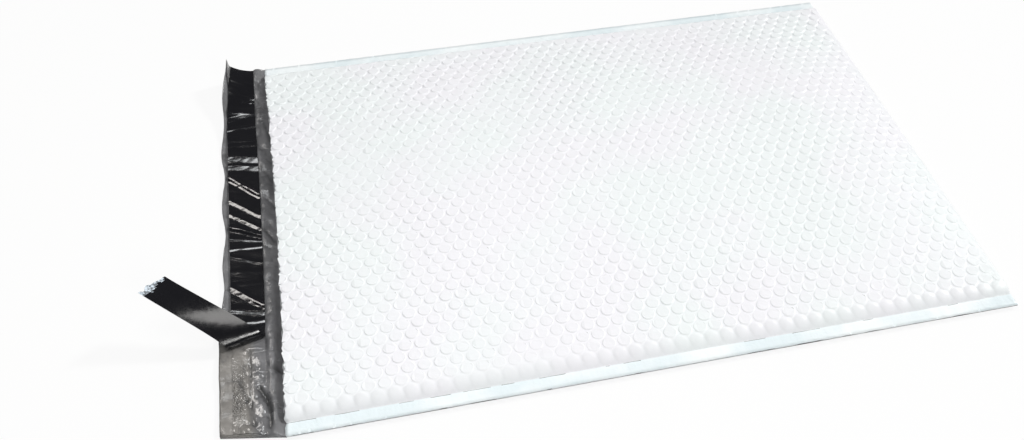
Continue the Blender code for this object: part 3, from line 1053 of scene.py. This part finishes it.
class ENVELOPE_OT_stage(Operator):
    """Add the pale floor, the soft light and the camera"""
    bl_idname = "envelope.stage"
    bl_label = "Stage"

    def execute(self, context):
        scene = context.scene
        scene.view_settings.view_transform = "Standard"
        self.add_floor(scene)
        self.add_world(scene)
        for lamp in LAMPS:
            self.add_lamp(scene, *lamp)
        self.add_camera(scene)
        return {"FINISHED"}

    def add_floor(self, scene):
        """Adds the floor, which glows for the camera alone and so stays white round the shadow."""
        mesh = bmesh.new()
        bmesh.ops.create_grid(mesh, x_segments=1, y_segments=1, size=FLOOR_SIZE)
        data = bpy.data.meshes.new("floor")
        mesh.to_mesh(data)
        mesh.free()
        floor = bpy.data.objects.new("floor", data)
        scene.collection.objects.link(floor)
        floor.location.z = -FLOOR_DROP
        finish, tree, shader = principled("pale_floor", scene.envelope_colours.floor, 0.9)
        glow = tree.nodes.new("ShaderNodeEmission")
        seen = tree.nodes.new("ShaderNodeLightPath")
        share = tree.nodes.new("ShaderNodeMath")
        share.operation = "MULTIPLY"
        share.inputs[1].default_value = FLOOR_GLOW
        mix = tree.nodes.new("ShaderNodeMixShader")
        tree.links.new(seen.outputs["Is Camera Ray"], share.inputs[0])
        tree.links.new(share.outputs["Value"], mix.inputs["Fac"])
        tree.links.new(shader.outputs["BSDF"], mix.inputs[1])
        tree.links.new(glow.outputs["Emission"], mix.inputs[2])
        tree.links.new(mix.outputs["Shader"], tree.nodes["Material Output"].inputs["Surface"])
        data.materials.append(finish)

    def add_world(self, scene):
        """Adds a soft sky, dim in glossy faces and white behind the object."""
        world = bpy.data.worlds.new("studio")
        world.use_nodes = True
        tree = world.node_tree
        light = tree.nodes["Background"]
        light.inputs["Color"].default_value = SKY_COLOUR
        light.inputs["Strength"].default_value = SKY_STRENGTH
        seen = tree.nodes.new("ShaderNodeLightPath")
        shader = light.outputs["Background"]
        for name, strength in (("Is Glossy Ray", SKY_IN_GLOSS), ("Is Camera Ray", SKY_IN_VIEW)):
            plain = tree.nodes.new("ShaderNodeBackground")
            plain.inputs["Strength"].default_value = strength
            mix = tree.nodes.new("ShaderNodeMixShader")
            tree.links.new(seen.outputs[name], mix.inputs["Fac"])
            tree.links.new(shader, mix.inputs[1])
            tree.links.new(plain.outputs["Background"], mix.inputs[2])
            shader = mix.outputs["Shader"]
        tree.links.new(shader, tree.nodes["World Output"].inputs["Surface"])
        scene.world = world

    def add_lamp(self, scene, name, place, size, power, colour):
        """Adds one lamp that faces the object."""
        data = bpy.data.lights.new(name, "AREA")
        data.shape = "RECTANGLE"
        data.size, data.size_y = size
        data.energy = power
        data.color = colour
        lamp = bpy.data.objects.new(name, data)
        scene.collection.objects.link(lamp)
        lamp.location = place
        lamp.rotation_euler = (-Vector(place)).to_track_quat("-Z", "Y").to_euler()

    def add_camera(self, scene):
        """Adds the camera where the photograph was taken from."""
        data = bpy.data.cameras.new("camera")
        camera = bpy.data.objects.new("camera", data)
        scene.collection.objects.link(camera)
        data.sensor_width = SENSOR_WIDTH
        data.lens = CAMERA_FOCAL / IMAGE_WIDTH * data.sensor_width
        data.shift_x = (IMAGE_WIDTH / 2 - CAMERA_CENTRE) / IMAGE_WIDTH
        right = Vector(CAMERA_RIGHT)
        back = -Vector(CAMERA_AHEAD)
        up = back.cross(right)
        camera.matrix_world = Matrix((right, up, back)).transposed().to_4x4()
        camera.location = CAMERA_PLACE
        scene.camera = camera


class ENVELOPE_PT_panel(Panel):
    """Sidebar panel that lists the pieces"""
    bl_idname = "ENVELOPE_PT_panel"
    bl_label = "Padded Envelope"
    bl_space_type = "VIEW_3D"
    bl_region_type = "UI"
    bl_category = "Envelope"

    def draw(self, context):
        for group in (context.scene.envelope_sizes, context.scene.envelope_colours):
            for name in group.__annotations__:
                self.layout.prop(group, name)
        for operator in OPERATORS:
            self.layout.operator(operator.bl_idname)


OPERATORS = (ENVELOPE_OT_film, ENVELOPE_OT_lining, ENVELOPE_OT_adhesive, ENVELOPE_OT_liner,
             ENVELOPE_OT_stage)
CLASSES = (EnvelopeSizes, EnvelopeColours, *OPERATORS, ENVELOPE_PT_panel)


def register():
    for item in CLASSES:
        bpy.utils.register_class(item)
    bpy.types.Scene.envelope_sizes = PointerProperty(type=EnvelopeSizes)
    bpy.types.Scene.envelope_colours = PointerProperty(type=EnvelopeColours)


def unregister():
    del bpy.types.Scene.envelope_colours
    del bpy.types.Scene.envelope_sizes
    for item in reversed(CLASSES):
        bpy.utils.unregister_class(item)


def main():
    register()
    bpy.ops.envelope.film()
    bpy.ops.envelope.lining()
    bpy.ops.envelope.adhesive()
    bpy.ops.envelope.liner()
    bpy.ops.envelope.stage()


if __name__ == "__main__":
    main()
